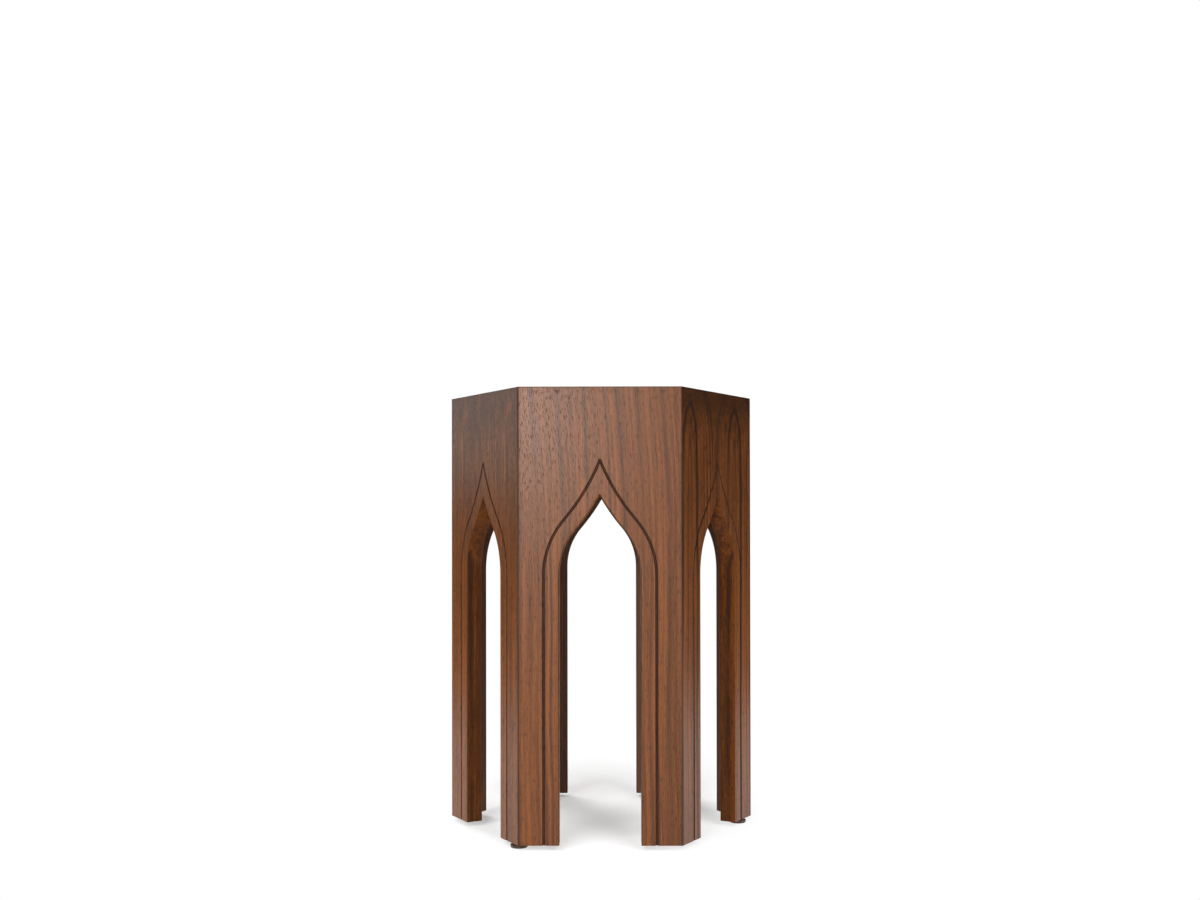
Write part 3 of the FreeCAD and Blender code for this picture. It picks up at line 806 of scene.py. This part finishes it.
def glide_axis(sizes):
    """Place of a glide's axis in the right-hand leg of the front panel, on the floor."""
    return np.array([sizes.face_width / 2 - sizes.glide_inset, -sizes.apothem + sizes.thickness / 2, 0.0])


def bore_points(sizes):
    """Blind stepped hole up a leg for insert and stem: (radius, height) rows turned about its axis."""
    profile = np.array([
        (INSERT_BORE, 0.0),
        (INSERT_BORE, INSERT_DEPTH),
        (STEM_BORE, INSERT_DEPTH),
        (STEM_BORE, STEM_BORE_DEPTH),
        (0.0, STEM_BORE_DEPTH),
    ]) * MM
    return turned_profile(profile, BORE_STEPS) + glide_axis(sizes) + (0.0, 0.0, sizes.leg_bottom)


def side_panel(name, index, sizes):
    """One veneered panel: the closed grid round its arch, feet closed flat, and a bore where it has a glide.

    The last strip of the eased edge takes the inside finish, as the fine glue line along the mitre.
    """
    station = arch_stations()[None, :]
    x, depth, z = panel_grid(sizes, station)
    # Share of the stain colour: painted shade in the groove, and partly painted shade along the corners
    stain_and_shade = mirrored(panel_stain_and_shade(sizes, depth, station))
    x, depth, z = mirrored(x, -1), mirrored(depth), mirrored(z)
    rows, columns = x.shape
    points = np.stack([x, depth - sizes.apothem, z], axis=-1).reshape(-1, 3)
    quads = grid_quads(rows, columns, close_rows=True)
    strip = np.arange(len(quads)) // (columns - 1)
    hidden = (strip == 0) | (strip >= rows - 3)  # the arch cut, then the glue line, mitre and inner face
    slots = np.where(hidden, INSIDE, OUTSIDE)
    faces = quads.tolist()

    bore = np.zeros((0, 3))
    if name in GLIDE_PANELS:
        grid = bore_points(sizes)
        bore = grid.reshape(-1, 3)
        faces += (grid_quads(*grid.shape[:2], close_columns=True) + len(points)).tolist()
    left_foot = np.arange(rows) * columns
    right_foot = left_foot + columns - 1
    faces += filled(points, left_foot, [], 0)
    faces += filled(points, right_foot, bore[:BORE_STEPS], len(points))
    slots = np.concatenate([slots, np.full(len(faces) - len(slots), INSIDE)])

    in_bore = np.zeros((len(bore), 3))
    attributes = {
        "leaf": np.concatenate([leaf_coordinates(name, x, z), in_bore]),
        "pooled_stain": np.concatenate([stain_and_shade.ravel(), in_bore[:, 0]]),
        "leaf_boldness": np.full(len(points) + len(bore), LEAVES[name].boldness),
    }
    points = turned(np.concatenate([points, bore]), index)
    piece = new_piece("panel_" + name, points, faces, slots, [veneer(), inside_veneer()], attributes)
    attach(piece, "table")
    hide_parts("side_panel_" + name)


def lipping_section(sizes):
    """Offsets, depths and material slots round a lipping: veneer in front, lacquered wood in the arch."""
    eased = np.linspace(0, math.pi / 2, ARRIS_STEPS + 1)
    inset = sizes.arch_arris * (1 - np.sin(eased))
    sunk = sizes.arch_arris * (1 - np.cos(eased))
    offset = np.concatenate([[sizes.lipping], inset, inset[::-1], [sizes.lipping]])
    depth = np.concatenate([[0.0], sunk, sizes.thickness - sunk[::-1], [sizes.thickness]])
    slots = [FACE] + [REVEAL] * (2 * eased.size - 1) + [BACK, BACK]
    return offset, depth, np.array(slots)


def arch_lipping(side, name, index, sizes):
    """Strip that lines half an arch, from the foot to the point: a closed section carried along the arch."""
    offset, section_depth, row_slots = lipping_section(sizes)
    station = arch_stations()[None, :]
    x, z = half_arch(sizes, offset[:, None], station)
    x = x * side
    depth = np.repeat(section_depth[:, None], station.size, axis=1)
    rows, columns = x.shape
    points = np.stack([x, depth - sizes.apothem, z], axis=-1).reshape(-1, 3)
    quads = grid_quads(rows, columns, close_rows=True)
    slots = np.concatenate([row_slots[np.arange(len(quads)) // (columns - 1)], [BACK, BACK]])
    foot = np.arange(rows) * columns
    faces = quads.tolist() + [foot.tolist(), (foot + columns - 1).tolist()]

    log = np.stack([
        x * LOG_ACROSS_STRETCH + LOG_SIDE_SHIFT * side,
        depth * LOG_DEPTH_STRETCH + LOG_DEPTH_SHIFT * index,
        z + LOG_ALONG_SHIFT * index,
    ], axis=-1)
    on_front_edge = (offset < sizes.arch_arris) & (section_depth < sizes.arch_arris)
    attributes = {
        "leaf": leaf_coordinates(name, x, z),
        "log": log.reshape(-1, 3),
        "pooled_stain": np.repeat(np.where(on_front_edge, LIPPING_STAIN, 0.0), columns),
        "leaf_boldness": np.full(len(points), LEAVES[name].boldness),
        "log_boldness": np.ones(len(points)),
    }
    label = "left" if side < 0 else "right"
    materials = [solid_walnut(), veneer(), inside_veneer()]
    points = turned(points, index)
    piece = new_piece(label + "_arch_lipping_" + name, points, faces, slots, materials, attributes)
    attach(piece, "table")
    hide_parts(label + "_lipping_" + name)


def top_board(sizes):
    """Hexagonal board: the unit hexagon scaled by an apothem at each height, and closed at both poles."""
    corner = np.arange(SIDES) * SECTOR - math.pi / 2 - HALF_CORNER
    corner = np.stack([np.cos(corner), np.sin(corner)], axis=-1) / math.cos(HALF_CORNER)
    share = np.arange(TOP_SIDE_STEPS)[None, :, None] / TOP_SIDE_STEPS
    hexagon = corner[:, None] * (1 - share) + np.roll(corner, -1, axis=0)[:, None] * share
    hexagon = hexagon.reshape(-1, 2)
    inset, drop = top_round(sizes)
    flat_edge = sizes.apothem - inset[0] - SUPPORT
    underside = sizes.top_surface - sizes.thickness
    inner_edge = sizes.apothem - sizes.thickness
    apothem = np.concatenate([[0.0, flat_edge], sizes.apothem - inset, [inner_edge, 0.0]])
    height = np.concatenate([[sizes.top_surface] * 2, sizes.top_surface - drop, [underside] * 2])
    plan = apothem[:, None, None] * hexagon[None]
    level = np.repeat(height[:, None, None], len(hexagon), axis=1)
    points = np.concatenate([plan, level], axis=-1)
    rows, columns = points.shape[:2]
    points = points.reshape(-1, 3)
    faces = grid_quads(rows, columns, close_columns=True)
    hidden = np.arange(len(faces)) // columns >= rows - 3  # the mitre and the underside
    slots = np.where(hidden, INSIDE, OUTSIDE)
    attributes = {
        "leaf": leaf_coordinates("top", points[:, 1], points[:, 0]),
        "pooled_stain": np.zeros(len(points)),
        "leaf_boldness": np.full(len(points), LEAVES["top"].boldness),
    }
    piece = new_piece("top_board", points, faces.tolist(), slots, [veneer(), inside_veneer()], attributes)
    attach(piece, "table")
    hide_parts("top_panel")


def quarter(centre_radius, centre_height, radius, start, end):
    """Points of a quarter round in a turned profile, from the start angle to the end angle in degrees."""
    angle = np.radians(np.linspace(start, end, PAD_ROUND_STEPS + 1))
    return np.stack([centre_radius + radius * np.cos(angle), centre_height + radius * np.sin(angle)], axis=-1)


def glide_piece(name, grid, index, sizes, material):
    """Mesh object from a grid round a glide's axis, in the right-hand leg of the panel with this index."""
    points = turned(grid.reshape(-1, 3) + glide_axis(sizes), index)
    faces = grid_quads(*grid.shape[:2], close_columns=True)
    return new_piece(name, points, faces.tolist(), np.zeros(len(faces)), [bpy.data.materials[material]])


def glide_pad(name, index, sizes):
    """Nylon foot: a profile of (radius, height) rows turned once round, with the disc's seat inside."""
    foot_centre = PAD_RADIUS - PAD_FOOT_ROUND
    rim_centre = PAD_RADIUS - PAD_RIM_ROUND
    neck_centre = NECK_HOLE + NECK_HOLE_ROUND
    profile = np.concatenate([
        [(radius, 0.0) for radius in PAD_FOOT_ROWS],
        quarter(foot_centre, PAD_FOOT_ROUND, PAD_FOOT_ROUND, -90, 0),
        quarter(rim_centre, PAD_HEIGHT - PAD_RIM_ROUND, PAD_RIM_ROUND, 0, 90),
        [(radius, PAD_HEIGHT) for radius in PAD_TOP_ROWS],
        quarter(neck_centre, PAD_HEIGHT - NECK_HOLE_ROUND, NECK_HOLE_ROUND, 90, 180),
        [(NECK_HOLE, SEAT_HIGH), (SEAT_RADIUS, SEAT_HIGH), (SEAT_RADIUS, SEAT_LOW), (0.0, SEAT_LOW)],
    ]) * MM
    grid = turned_profile(profile, PAD_STEPS)
    piece = glide_piece("pad_" + name, grid, index, sizes, "brown_moulded_nylon")
    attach(piece, "glide_pad_" + name)
    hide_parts("glide_pad_" + name)


def glide_stem(name, index, sizes):
    """Swivel stem: disc, neck, six-sided collar and an M6 thread, as a radius over the turn and the height.

    The thread is a triangle wave of the height in pitches less the turn: its crest climbs a pitch a turn.
    """
    angle = np.linspace(0, 2 * math.pi, STEM_STEPS, endpoint=False)[None, :]
    disc_edge = DISC_RADIUS - DISC_CHAMFER
    spindle = np.array([
        (0.0, DISC_LOW),
        (disc_edge, DISC_LOW),
        (DISC_RADIUS, DISC_LOW + DISC_CHAMFER),
        (DISC_RADIUS, DISC_HIGH - DISC_CHAMFER),
        (disc_edge, DISC_HIGH),
        (NECK_RADIUS, DISC_HIGH),
        (NECK_RADIUS, COLLAR_LOW),
    ])
    spindle_radius = np.repeat(spindle[:, :1], STEM_STEPS, axis=1)

    flat = 2 * math.pi / COLLAR_FLATS
    collar = COLLAR_HALF_WIDTH / np.cos(np.mod(angle, flat) - flat / 2)
    collar_radius = np.concatenate([collar - COLLAR_CHAMFER, collar, collar, collar - COLLAR_CHAMFER])
    collar_height = [COLLAR_LOW, COLLAR_LOW + COLLAR_CHAMFER, COLLAR_HIGH - COLLAR_CHAMFER, COLLAR_HIGH]

    thread_height = np.arange(COLLAR_HIGH, STEM_TOP + THREAD_ROW / 2, THREAD_ROW)
    rise = thread_height[:, None]
    wave = 2 * np.abs(np.mod(rise / THREAD_PITCH - angle / (2 * math.pi), 1.0) - 0.5)
    thread = THREAD_RADIUS - THREAD_DEPTH * wave
    from_end = np.minimum(STEM_TOP - rise, rise - COLLAR_HIGH)
    thread = np.minimum(thread, THREAD_END_RADIUS + from_end.clip(0, THREAD_END_RISE))

    radius = np.concatenate([spindle_radius, collar_radius, thread, np.zeros((1, STEM_STEPS))]) * MM
    level = np.concatenate([spindle[:, 1], collar_height, thread_height, [STEM_TOP]])[:, None] * MM
    level = np.repeat(level, STEM_STEPS, axis=1)
    grid = np.stack([radius * np.cos(angle), radius * np.sin(angle), level], axis=-1)
    piece = glide_piece("stem_" + name, grid, index, sizes, "zinc_plated_steel")
    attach(piece, "glide_stem_" + name)
    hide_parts("glide_stem_" + name)


def paint(nodes, material):
    """Give a material to solids that keep their shape."""
    for node in nodes:
        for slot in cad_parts[node].material_slots:
            slot.material = material


def nodes_named(start):
    """Names of the solids that start with these words."""
    return [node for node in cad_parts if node.startswith(start)]


class TABOURET_OT_side_panels(bpy.types.Operator):
    """Make the six veneered side panels with their arches and grooves"""

    bl_idname = "tabouret.side_panels"
    bl_label = "Side Panels"

    def execute(self, context):
        for index, name in enumerate(PANEL_NAMES):
            side_panel(name, index, context.scene.tabouret.sizes)
        return {"FINISHED"}


class TABOURET_OT_lippings(bpy.types.Operator):
    """Make the strips that line the arches"""

    bl_idname = "tabouret.lippings"
    bl_label = "Arch Lippings"

    def execute(self, context):
        for index, name in enumerate(PANEL_NAMES):
            for side in (-1, 1):
                arch_lipping(side, name, index, context.scene.tabouret.sizes)
        return {"FINISHED"}


class TABOURET_OT_top(bpy.types.Operator):
    """Make the hexagonal top"""

    bl_idname = "tabouret.top"
    bl_label = "Top"

    def execute(self, context):
        top_board(context.scene.tabouret.sizes)
        return {"FINISHED"}


class TABOURET_OT_fixings(bpy.types.Operator):
    """Finish the cleats, loose tongues, screws and threaded inserts"""

    bl_idname = "tabouret.fixings"
    bl_label = "Fixings"

    def execute(self, context):
        finish = context.scene.tabouret.finish
        for index, name in enumerate(PANEL_NAMES):
            wood = stained_wood("stained_cleat_" + name, finish.cleat, CLEAT_GRAIN, index * SECTOR)
            paint(["top_cleat_" + name], wood)
        paint(nodes_named("corner_spline_"), birch_ply(finish.birch))
        steel = metal("zinc_plated_steel", finish.steel, STEEL_ROUGHNESS, STEEL_MARKS)
        paint(["cleat_side_screws", "cleat_top_screws"], steel)
        brass = metal("turned_brass", finish.brass, BRASS_ROUGHNESS, BRASS_MARKS)
        paint(nodes_named("threaded_insert_"), brass)
        return {"FINISHED"}


class TABOURET_OT_glides(bpy.types.Operator):
    """Make the levelling glides"""

    bl_idname = "tabouret.glides"
    bl_label = "Glides"

    def execute(self, context):
        settings = context.scene.tabouret
        nylon(settings.finish.nylon, settings.finish.scuff)
        for panel, name in GLIDE_PANELS.items():
            index = PANEL_NAMES.index(panel)
            glide_pad(name, index, settings.sizes)
            glide_stem(name, index, settings.sizes)
        return {"FINISHED"}


def camera():
    """Camera that looks at the front, a little from the right, with its shift worked out in pixels."""
    data = bpy.data.cameras.new("camera")
    data.sensor_width = SENSOR_WIDTH_MM
    data.lens = SENSOR_WIDTH_MM * FOCAL_PIXELS / IMAGE_WIDTH
    data.shift_y = AXIS_BELOW_CENTRE / IMAGE_WIDTH
    stand = bpy.data.objects.new("camera", data)
    stand.location = CAMERA_PLACE
    facing = Euler((math.pi / 2 + CAMERA_PITCH, 0, CAMERA_YAW)).to_matrix()
    stand.rotation_euler = (facing @ Euler((0, 0, CAMERA_ROLL)).to_matrix()).to_euler()
    bpy.context.scene.collection.objects.link(stand)
    bpy.context.scene.camera = stand


def softbox(light, receivers):
    """Square soft light aimed at the table; it lights its receivers alone or, with none given, everything."""
    azimuth, elevation = math.radians(light.azimuth), math.radians(light.elevation)
    level = math.cos(elevation)
    away = Vector((math.sin(azimuth) * level, -math.cos(azimuth) * level, math.sin(elevation)))
    data = bpy.data.lights.new(light.name, "AREA")
    data.size = light.size
    data.energy = light.watts
    lamp = bpy.data.objects.new(light.name, data)
    lamp.location = Vector(AIM_POINT) + away * light.distance
    lamp.rotation_euler = (-away).to_track_quat("-Z", "Y").to_euler()
    lamp.visible_camera = False
    lamp.light_linking.receiver_collection = receivers
    bpy.context.scene.collection.objects.link(lamp)


def all_but(piece):
    """Receivers of a lamp that lights everything but one piece."""
    receivers = bpy.data.collections.new("all_but_" + piece)
    receivers.objects.link(bpy.data.objects[piece])
    receivers.collection_objects[0].light_linking.link_state = "EXCLUDE"
    return receivers


def stage_sheet(name, points, faces, material):
    """Mesh object that belongs to the stage."""
    mesh = bpy.data.meshes.new(name)
    mesh.from_pydata(points.tolist(), [], faces)
    mesh.materials.append(material)
    sheet = bpy.data.objects.new(name, mesh)
    bpy.context.scene.collection.objects.link(sheet)
    return sheet


def seen_rays(tree):
    """One where a ray comes from the camera, a reflection or a clear body, and nought for plain light."""
    path = put(tree, "LightPath").outputs
    seen = path["Is Camera Ray"]
    for kind in ("Is Glossy Ray", "Is Transmission Ray"):
        seen = put(tree, "Math", {0: seen, 1: path[kind]}, operation="MAXIMUM").outputs[0]
    return seen


def outside_pool(tree):
    """Nought inside the floor's oval pool and one outside it; the pool is deeper behind than in front."""
    place = put(tree, "TexCoord").outputs["Object"]
    place = put(tree, "VectorMath", {0: place, 1: POOL_CENTRE}, operation="SUBTRACT").outputs[0]
    x, y, _ = put(tree, "SeparateXYZ", {0: place}).outputs
    wide = put(tree, "Math", {0: x, 1: POOL_WIDTH}, operation="DIVIDE").outputs[0]
    front = put(tree, "Math", {0: y, 1: -POOL_FRONT}, operation="DIVIDE").outputs[0]
    back = put(tree, "Math", {0: y, 1: POOL_BACK}, operation="DIVIDE").outputs[0]
    deep = put(tree, "Math", {0: front, 1: back}, operation="MAXIMUM").outputs[0]
    oval = put(tree, "CombineXYZ", {0: wide, 1: deep}).outputs[0]
    away = put(tree, "VectorMath", {0: oval}, operation="LENGTH").outputs["Value"]
    return put(tree, "MapRange", {"Value": away, **POOL_FADE}, interpolation_type="SMOOTHSTEP").outputs[0]


def white_floor():
    """Matt white board, raised a little where it is seen, and pure white outside the pool of the shadow.

    From below it is clear, so that views from under it see the table.
    """
    material = bpy.data.materials.new("white_floor")
    tree = empty_tree(material)
    seen = seen_rays(tree)
    far = put(tree, "Math", {0: outside_pool(tree), 1: seen}, operation="MULTIPLY").outputs[0]
    matt = put(tree, "BsdfDiffuse", {"Color": opaque(linear(FLOOR_COLOUR))}).outputs[0]
    raised = put(tree, "Math", {0: seen, 1: FLOOR_LIFT}, operation="MULTIPLY").outputs[0]
    glow = put(tree, "Emission", {"Strength": raised}).outputs[0]
    near = put(tree, "AddShader", {0: matt, 1: glow}).outputs[0]
    white = put(tree, "Emission", {"Strength": 1.0}).outputs[0]
    above = put(tree, "MixShader", {0: far, 1: near, 2: white}).outputs[0]
    below = put(tree, "NewGeometry").outputs["Backfacing"]
    clear = put(tree, "BsdfTransparent").outputs[0]
    sheet = put(tree, "MixShader", {0: below, 1: above, 2: clear}).outputs[0]
    put(tree, "OutputMaterial", {"Surface": sheet})
    return material


def floor():
    """Square floor sheet; returns the collection that lamps for the floor alone light."""
    corners = np.array([(-1, -1, 0), (1, -1, 0), (1, 1, 0), (-1, 1, 0)]) * FLOOR_REACH
    sheet = stage_sheet("floor", corners, [[0, 1, 2, 3]], white_floor())
    alone = bpy.data.collections.new("floor_alone")
    alone.objects.link(sheet)
    return alone


def black_felt():
    """Black felt of the curtains: almost no light comes back from it, and none of it as gloss."""
    material, tree, shader = blank_material("black_felt")
    place = put(tree, "TexCoord").outputs["Object"]
    nap = streaks(tree, place, FELT_NAP, 2.0, 0.5)
    tone = put(tree, "MapRange", {"Value": nap, "To Min": 0.01, "To Max": 0.03}).outputs[0]
    tree.links.new(tone, shader.inputs["Base Color"])
    shader.inputs["Roughness"].default_value = 0.95
    shader.inputs["Specular IOR Level"].default_value = 0.0
    return material


def curtain(cloth, felt):
    """Black curtain round part of the studio, out of the picture: an arc on the floor raised to a height."""
    angle = np.radians(np.linspace(cloth.start, cloth.end, CURTAIN_STEPS + 1))
    foot = np.stack([np.sin(angle), -np.cos(angle), np.zeros_like(angle)], axis=-1) * cloth.radius
    points = np.stack([foot, foot + (0, 0, cloth.height)]).reshape(-1, 3)
    sheet = stage_sheet(cloth.name, points, grid_quads(2, len(foot)).tolist(), felt)
    sheet.visible_camera = False


def surround():
    """White surround: white to the camera and in reflections, and a plain low level of light on the table."""
    world = bpy.data.worlds.new("studio")
    tree = empty_tree(world)
    strength = {"Value": seen_rays(tree), "To Min": SURROUND_LIGHT, "To Max": 1.0}
    strength = put(tree, "MapRange", strength).outputs[0]
    sky = put(tree, "Background", {"Color": (1, 1, 1, 1), "Strength": strength})
    put(tree, "OutputWorld", {"Surface": sky.outputs[0]})
    bpy.context.scene.world = world


class TABOURET_OT_stage(bpy.types.Operator):
    """Make the floor, the soft lights, the curtains and the camera"""

    bl_idname = "tabouret.stage"
    bl_label = "Stage"

    def execute(self, context):
        context.scene.view_settings.view_transform = "Standard"
        camera()
        receivers = {"all": None, "floor_alone": floor(), "all_but_top": all_but("top_board")}
        surround()
        for light in SOFTBOXES:
            softbox(light, receivers[light.lights])
        felt = black_felt()
        for cloth in CURTAINS:
            curtain(cloth, felt)
        return {"FINISHED"}


class TABOURET_PT_sidebar(bpy.types.Panel):
    """Lists the steps that build the table."""

    bl_idname = "TABOURET_PT_sidebar"
    bl_label = "Tabouret"
    bl_space_type = "VIEW_3D"
    bl_region_type = "UI"
    bl_category = "Tabouret"

    def draw(self, context):
        """A button for each step, in order."""
        for operator in OPERATORS:
            self.layout.operator(operator.bl_idname)


OPERATORS = (
    TABOURET_OT_side_panels,
    TABOURET_OT_lippings,
    TABOURET_OT_top,
    TABOURET_OT_fixings,
    TABOURET_OT_glides,
    TABOURET_OT_stage,
)
CLASSES = (TabouretSizes, TabouretFinish, TabouretSettings, *OPERATORS, TABOURET_PT_sidebar)


def register():
    """Register the classes and hang the settings on the scene."""
    for entry in CLASSES:
        bpy.utils.register_class(entry)
    bpy.types.Scene.tabouret = PointerProperty(type=TabouretSettings)


def unregister():
    """Undo register, in the opposite order."""
    del bpy.types.Scene.tabouret
    for entry in reversed(CLASSES):
        bpy.utils.unregister_class(entry)


def main():
    """Build the table and its stage."""
    register()
    bpy.ops.tabouret.side_panels()
    bpy.ops.tabouret.lippings()
    bpy.ops.tabouret.top()
    bpy.ops.tabouret.fixings()
    bpy.ops.tabouret.glides()
    bpy.ops.tabouret.stage()
    bpy.context.view_layer.update()


if __name__ == "__main__":
    main()
